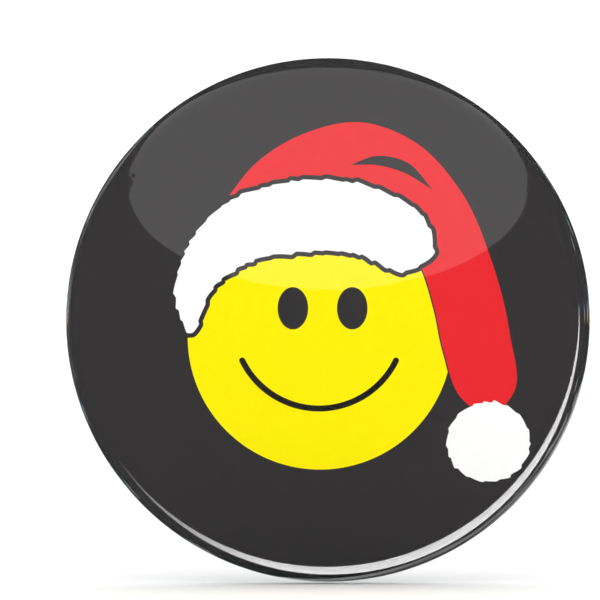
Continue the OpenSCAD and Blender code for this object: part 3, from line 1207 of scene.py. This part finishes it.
def panel(name, centre, toward, width, height, material):
    """A flat light panel that only gloss shows."""
    facing = (Vector(toward) - Vector(centre)).normalized()
    across = facing.cross(Vector((0, 0, 1))).normalized()
    up = across.cross(facing)
    grid = [
        [Vector(centre) + across * (u * width / 2) + up * (v * height / 2) for u in (-1, 0, 1)]
        for v in (-1, 0, 1)
    ]
    return light_sheet(name, grid, material)


def make_stage(scene):
    stage = scene.badge_stage
    view = bpy.data.cameras.new("camera")
    view.sensor_width = 36
    view.lens = view.sensor_width * stage.camera_distance / stage.frame_width
    view.clip_start, view.clip_end = 0.01, 20
    camera = bpy.data.objects.new("camera", view)
    camera.location = camera_place(stage)
    camera.rotation_euler = (math.pi / 2, 0, 0)
    scene.collection.objects.link(camera)
    scene.camera = camera

    floor_z = CAD_LOW.z - 0.00002
    rings, around = [0.0, 0.05, 0.2, 1.0, 4.0], 96
    verts = [Vector((0, 0, floor_z))]
    verts += [Vector((r * math.cos(TURN * i / around), r * math.sin(TURN * i / around), floor_z))
              for r in rings[1:] for i in range(around)]
    faces = [[0, 1 + i, 1 + (i + 1) % around] for i in range(around)]
    for k in range(len(rings) - 2):
        one, two = 1 + k * around, 1 + (k + 1) * around
        faces += [[one + i, two + i, two + (i + 1) % around, one + (i + 1) % around] for i in range(around)]
    floor = new_piece("floor", mesh_from("floor", verts, faces), [floor_material(stage.floor)])
    floor.visible_glossy = False

    world = bpy.data.worlds.new("soft_room")
    world.use_nodes = True
    tree = world.node_tree
    tree.nodes.clear()
    out = tree.nodes.new("ShaderNodeOutputWorld")
    ray = tree.nodes.new("ShaderNodeLightPath")
    soft, dark = tree.nodes.new("ShaderNodeBackground"), tree.nodes.new("ShaderNodeBackground")
    soft.inputs["Color"].default_value = (1, 1, 1, 1)
    soft.inputs["Strength"].default_value = stage.room_light
    dark.inputs["Color"].default_value = linear(stage.surroundings)
    both = tree.nodes.new("ShaderNodeMixShader")
    tree.links.new(ray.outputs["Is Glossy Ray"], both.inputs["Fac"])
    tree.links.new(soft.outputs[0], both.inputs[1])
    tree.links.new(dark.outputs[0], both.inputs[2])
    tree.links.new(both.outputs[0], out.inputs["Surface"])
    scene.world = world
    scene.view_settings.view_transform = "Standard"

    gloss_lights(scene)
    back_lights(scene)
    side_glow = clouded_light("side_light", 0.6)
    low_glow = light_material("low_light", (1, 1, 0.98), 2.0)
    panel("side_panel", (-0.45, 0.45, 0.12), (0, 0, 0), 0.28, 0.5, side_glow)
    panel("low_panel", (0.25, 0.30, -0.25), (0, 0, 0), 0.4, 0.2, low_glow)


# ------------------------------------------------------------------ operators and panel

class BadgeOperator:
    """Runs one making function on the scene."""
    bl_options = {"REGISTER", "UNDO"}
    make = None

    def execute(self, context):
        type(self).make(context.scene)
        return {"FINISHED"}


class BADGE_OT_stage(BadgeOperator, bpy.types.Operator):
    """Makes the camera, floor and lights"""
    bl_idname = "badge.make_stage"
    bl_label = "Stage"
    make = staticmethod(make_stage)


class BADGE_OT_printed_disc(BadgeOperator, bpy.types.Operator):
    """Makes the printed paper disc with its artwork"""
    bl_idname = "badge.make_printed_disc"
    bl_label = "Printed disc"
    make = staticmethod(make_printed_disc)


class BADGE_OT_clear_film(BadgeOperator, bpy.types.Operator):
    """Makes the clear film, gathered into pleats at the seam"""
    bl_idname = "badge.make_clear_film"
    bl_label = "Clear film"
    make = staticmethod(make_clear_film)


class BADGE_OT_front_shell(BadgeOperator, bpy.types.Operator):
    """Gives the front shell its tinplate finish"""
    bl_idname = "badge.finish_front_shell"
    bl_label = "Front shell"
    make = staticmethod(make_front_shell)


class BADGE_OT_back_plate(BadgeOperator, bpy.types.Operator):
    """Makes the back plate with its straps and catch"""
    bl_idname = "badge.make_back_plate"
    bl_label = "Back plate"
    make = staticmethod(make_back_plate)


class BADGE_OT_pin(BadgeOperator, bpy.types.Operator):
    """Makes the spring pin: leg, coil and needle"""
    bl_idname = "badge.make_pin"
    bl_label = "Spring pin"
    make = staticmethod(make_pin)


STEPS = [
    BADGE_OT_stage,
    BADGE_OT_printed_disc,
    BADGE_OT_clear_film,
    BADGE_OT_front_shell,
    BADGE_OT_back_plate,
    BADGE_OT_pin,
]


class BADGE_PT_panel(bpy.types.Panel):
    """Lists the badge's pieces and their sizes"""
    bl_idname = "BADGE_PT_panel"
    bl_label = "Button badge"
    bl_space_type = "VIEW_3D"
    bl_region_type = "UI"
    bl_category = "Badge"

    def draw(self, context):
        for step in STEPS:
            self.layout.operator(step.bl_idname)
        for name, group in GROUPS.items():
            box = self.layout.box()
            box.label(text=name.replace("_", " ").capitalize())
            for key in group.__annotations__:
                box.prop(getattr(context.scene, name), key)


def register():
    for group in GROUPS.values():
        bpy.utils.register_class(group)
    for step in STEPS:
        bpy.utils.register_class(step)
    bpy.utils.register_class(BADGE_PT_panel)
    for name, group in GROUPS.items():
        setattr(bpy.types.Scene, name, PointerProperty(type=group))


def unregister():
    for name in GROUPS:
        delattr(bpy.types.Scene, name)
    for item in (BADGE_PT_panel, *STEPS[::-1], *GROUPS.values()):
        bpy.utils.unregister_class(item)


def main():
    register()
    for step in STEPS:
        area, action = step.bl_idname.split(".")
        getattr(getattr(bpy.ops, area), action)()


if __name__ == "__main__":
    main()
